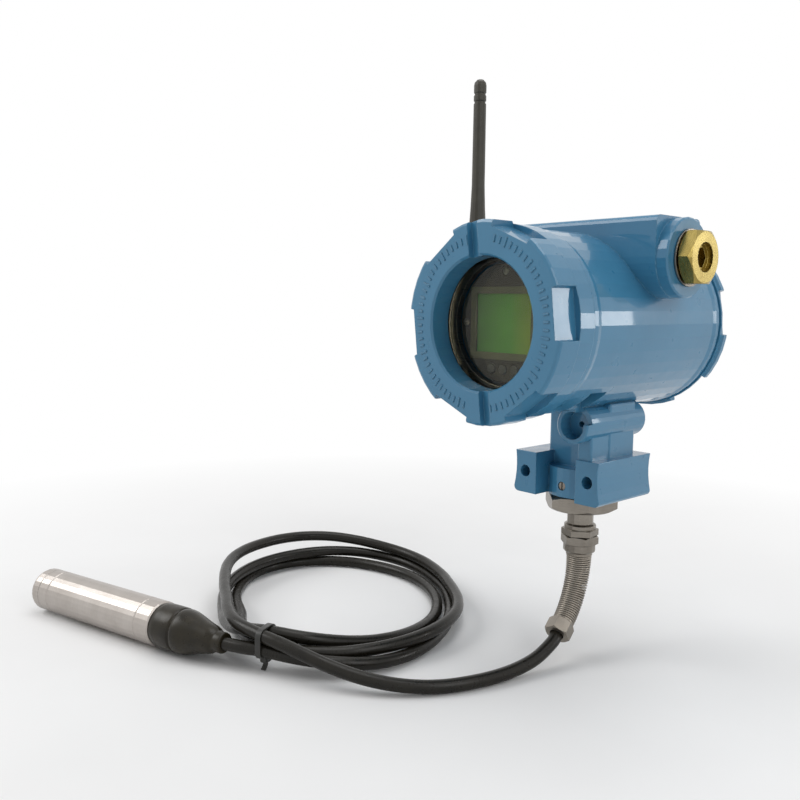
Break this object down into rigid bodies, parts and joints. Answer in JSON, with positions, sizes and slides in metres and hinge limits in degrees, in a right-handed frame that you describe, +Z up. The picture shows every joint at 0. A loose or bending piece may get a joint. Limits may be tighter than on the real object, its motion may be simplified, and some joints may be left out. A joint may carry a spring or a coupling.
{
  "type": "water level sensor",
  "caption": "Round field housing with a display window, folding antenna, plugged conduit boss and bracket block, and a submersible probe on a loosely coiled cable.",
  "frame": {"origin": "middle of the flat back face of the bracket block, which bolts to a bracket on a wall or pipe", "axes": "+Z up, the display looks along -Y, +Y out of the bracket face, the plugged conduit boss at +X and the antenna at -X"},
  "size_m": [0.3428, 0.2986, 0.3482],
  "materials": {
    "blue_paint": "glossy blue paint on a die casting",
    "steel": "turned stainless steel, satin",
    "probe_steel": "ground stainless steel",
    "brass": "turned brass, satin",
    "black_rubber": "matte black",
    "cable_jacket": "smooth black jacket, slight sheen",
    "antenna_plastic": "soft matte dark grey",
    "display_plastic": "fine matte black",
    "button_plastic": "matte dark grey",
    "lcd_rim": "matte grey green",
    "lcd": "smooth green liquid crystal panel",
    "lamp": "clear grey",
    "window": "clear polished",
    "circuit_board": "green solder resist",
    "tray_plastic": "matte black",
    "battery_sleeve": "plain grey sleeve"
  },
  "bodies": {
    "housing": {"housing": "blue_paint", "display_case": "display_plastic", "status_lamp": "lamp", "display_screw_left": "steel", "display_screw_right": "steel", "lcd_panel": "lcd", "lcd_frame": "lcd_rim", "main_board": "circuit_board", "battery_tray": "tray_plastic", "battery": "battery_sleeve", "terminal_block": "tray_plastic", "terminal_screw_1": "brass", "terminal_screw_2": "brass", "terminal_screw_3": "brass", "plug_washer": "steel", "conduit_plug": "brass", "antenna_adapter": "brass", "lock_screw": "steel", "hex_adapter": "steel", "gland_body": "steel", "gland_seal": "black_rubber", "gland_nut": "steel", "guard_collar": "steel", "spiral_guard": "steel", "guard_ferrule": "steel", "cable_inner_run": "cable_jacket", "cable_lead": "cable_jacket", "cable_loop": "cable_jacket", "cable_tail": "cable_jacket", "cable_tie": "tray_plastic", "probe_nose_cap": "probe_steel", "probe_tube": "probe_steel", "sensing_cell": "probe_steel", "probe_board": "circuit_board", "probe_boot": "black_rubber"},
    "front_ring": {"front_seal_ring": "black_rubber"},
    "front_cover": {"front_cover": "blue_paint", "window_gasket": "black_rubber", "window_glass": "window", "window_clamp_ring": "steel"},
    "rear_ring": {"rear_seal_ring": "black_rubber"},
    "rear_cover": {"rear_cover": "blue_paint"},
    "antenna_swivel": {"antenna_swivel": "antenna_plastic", "antenna_pin": "steel"},
    "antenna_whip": {"antenna_whip": "antenna_plastic"},
    "button_left": {"display_button_left": "button_plastic"},
    "button_middle": {"display_button_middle": "button_plastic"},
    "button_right": {"display_button_right": "button_plastic"}
  },
  "joints": [
    {"name": "front_cover_travel", "type": "slide", "parent": "housing", "child": "front_ring", "axis": [0, -1, 0], "range_m": [0, 0.01]},
    {"name": "front_cover_turn", "type": "hinge", "parent": "front_ring", "child": "front_cover", "pos_m": [0, -0.09, 0.088], "axis": [0, -1, 0], "range_deg": [0, 1800]},
    {"name": "rear_cover_travel", "type": "slide", "parent": "housing", "child": "rear_ring", "axis": [0, 1, 0], "range_m": [0, 0.01]},
    {"name": "rear_cover_turn", "type": "hinge", "parent": "rear_ring", "child": "rear_cover", "pos_m": [0, 0.0334, 0.088], "axis": [0, 1, 0], "range_deg": [0, 1800]},
    {"name": "antenna_turn", "type": "hinge", "parent": "housing", "child": "antenna_swivel", "pos_m": [-0.0623, -0.0256, 0.123], "axis": [-1, 0, 0], "continuous": true},
    {"name": "antenna_tilt", "type": "hinge", "parent": "antenna_swivel", "child": "antenna_whip", "pos_m": [-0.089, -0.0256, 0.123], "axis": [0, -1, 0], "range_deg": [0, 90]},
    {"name": "button_left_press", "type": "slide", "parent": "housing", "child": "button_left", "axis": [0, 1, 0], "range_m": [0, 0.0005], "stiffness_N_per_m": 600},
    {"name": "button_middle_press", "type": "slide", "parent": "housing", "child": "button_middle", "axis": [0, 1, 0], "range_m": [0, 0.0005], "stiffness_N_per_m": 600},
    {"name": "button_right_press", "type": "slide", "parent": "housing", "child": "button_right", "axis": [0, 1, 0], "range_m": [0, 0.0005], "stiffness_N_per_m": 600}
  ],
  "couplings": [
    {"joint": "front_cover_travel", "follows": "front_cover_turn", "m_per_rad": 0.000318},
    {"joint": "rear_cover_travel", "follows": "rear_cover_turn", "m_per_rad": 0.000318}
  ]
}
